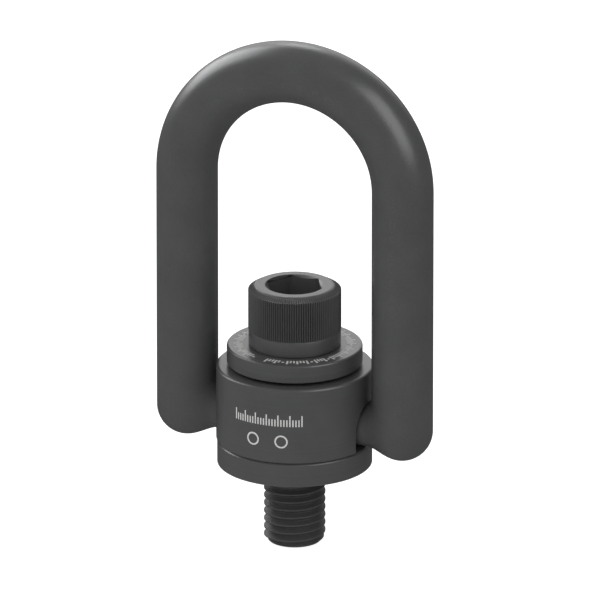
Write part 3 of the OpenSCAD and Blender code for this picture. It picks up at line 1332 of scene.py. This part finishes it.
AMBIENT_LOW = 1.20
AMBIENT_HIGH = 1.34
RIGHT_SHADE = 0.62
GLOSS_DARK = 0.12
GLOSS_BAND = 1.35
FLOOR_HALF = 6.0
FLOOR_GAP = 0.4 * MM
FLOOR_GLOW = 0.88
WHITE = (1.0, 1.0, 1.0, 1.0)
SOFTBOX_TARGET = Vector((0, 0, 0.07))
SOFTBOX_DISTANCE = 1.0


def add_floor():
    """Large pale floor just under the screw's tip. Its glow keeps it white, and it lights nothing."""
    half = FLOOR_HALF
    z = CAD_LOW[2] - FLOOR_GAP
    corners = [(-half, -half, z), (half, -half, z), (half, half, z), (-half, half, z)]
    mesh = bpy.data.meshes.new("floor")
    mesh.from_pydata(corners, [], [(0, 1, 2, 3)])
    material, tree, shader = new_material("pale_floor")
    patches = add_noise(tree, object_position(tree), 8.0)
    tint = add_colour_mix(tree, patches, (0.36, 0.36, 0.36), (0.42, 0.42, 0.42))
    tree.links.new(tint, shader.inputs["Base Color"])
    shader.inputs["Roughness"].default_value = 0.9
    shader.inputs["Specular IOR Level"].default_value = 0.1
    shader.inputs["Emission Color"].default_value = WHITE
    shader.inputs["Emission Strength"].default_value = FLOOR_GLOW
    mesh.materials.append(material)
    floor = scene_object("floor", mesh)
    floor.visible_diffuse = False
    floor.visible_glossy = False


def add_world():
    """White to the camera. Diffuse light fades towards +X. Reflections see dark, with a pale band behind."""
    world = bpy.data.worlds.new("studio")
    world.use_nodes = True
    tree = world.node_tree
    output = tree.nodes["World Output"]
    x, y, z = split_axes(tree, tree.nodes.new("ShaderNodeTexCoord").outputs["Generated"])
    rise = add_range(tree, z, -0.02, 0.16, 0.0, 1.0)
    fall = add_range(tree, z, 0.50, 0.80, 1.0, 0.0)
    behind = add_range(tree, y, -0.05, 0.5, 0.0, 1.0)
    leftward = add_range(tree, x, 0.0, 0.4, 1.0, 0.0)
    band = add_product(tree, add_product(tree, rise, fall), add_product(tree, behind, leftward))
    mirror = add_range(tree, band, 0.0, 1.0, GLOSS_DARK, GLOSS_BAND)
    ambient = add_range(tree, z, -1.0, 1.0, AMBIENT_LOW, AMBIENT_HIGH)
    ambient = add_product(tree, ambient, add_range(tree, x, 0.1, 0.9, 1.0, RIGHT_SHADE))
    path = tree.nodes.new("ShaderNodeLightPath")
    strength = add_value_mix(tree, path.outputs["Is Glossy Ray"], ambient, mirror)
    strength = add_value_mix(tree, path.outputs["Is Camera Ray"], strength, 1.0)
    background = tree.nodes["Background"]
    tree.links.new(strength, background.inputs["Strength"])
    tree.links.new(background.outputs["Background"], output.inputs["Surface"])
    background.inputs["Color"].default_value = WHITE
    bpy.context.scene.world = world


def add_softbox(name, direction, width, height, radiance):
    """Rectangular panel that shows in reflections only, at a direction from the object's middle."""
    place = SOFTBOX_TARGET + Vector(direction).normalized() * SOFTBOX_DISTANCE
    light = bpy.data.lights.new(name, "AREA")
    light.shape = "RECTANGLE"
    light.size = width
    light.size_y = height
    light.energy = radiance * math.pi * width * height
    lamp = scene_object(name, light)
    lamp.location = place
    lamp.rotation_euler = (SOFTBOX_TARGET - place).to_track_quat("-Z", "Y").to_euler()
    lamp.visible_camera = False
    lamp.visible_diffuse = False


def add_camera():
    """Long lens at the photograph's angle: 20 degrees round to the right and 20 degrees up."""
    azimuth = math.radians(20)
    elevation = math.radians(20)
    lens = 1000.0
    sensor = 36.0
    frame_width = 0.1815
    distance = frame_width * lens / sensor
    aim_right = 0.00009
    aim_up = 0.0542
    target = Vector((aim_right * math.cos(azimuth), aim_right * math.sin(azimuth), aim_up))
    away = Vector((
        math.sin(azimuth) * math.cos(elevation),
        -math.cos(azimuth) * math.cos(elevation),
        math.sin(elevation),
    ))
    data = bpy.data.cameras.new("camera")
    data.lens = lens
    data.sensor_width = sensor
    data.clip_start = 0.1
    data.clip_end = 50.0
    camera = scene_object("camera", data)
    camera.location = target + away * distance
    camera.rotation_euler = (-away).to_track_quat("-Z", "Y").to_euler()
    bpy.context.scene.camera = camera


flanged_bushing()
swivel_body()
u_bar()
load_washer()
cap_screw()
retaining_ring()
for pin_node in PIN_NODES:
    trunnion_pin(pin_node)
body_marks()
washer_marks()
raised_marks()
for piece in PIECES:
    smooth_piece(piece)

add_floor()
add_world()
add_softbox("key", (-0.77, 0.29, 0.54), width=0.75, height=0.75, radiance=4.2)
add_softbox("back", (-0.26, 0.70, 0.67), width=0.3, height=0.3, radiance=4.0)
add_softbox("fill", (0.78, -0.30, 0.54), width=0.7, height=0.85, radiance=2.4)
add_camera()
bpy.context.scene.view_settings.view_transform = "Standard"
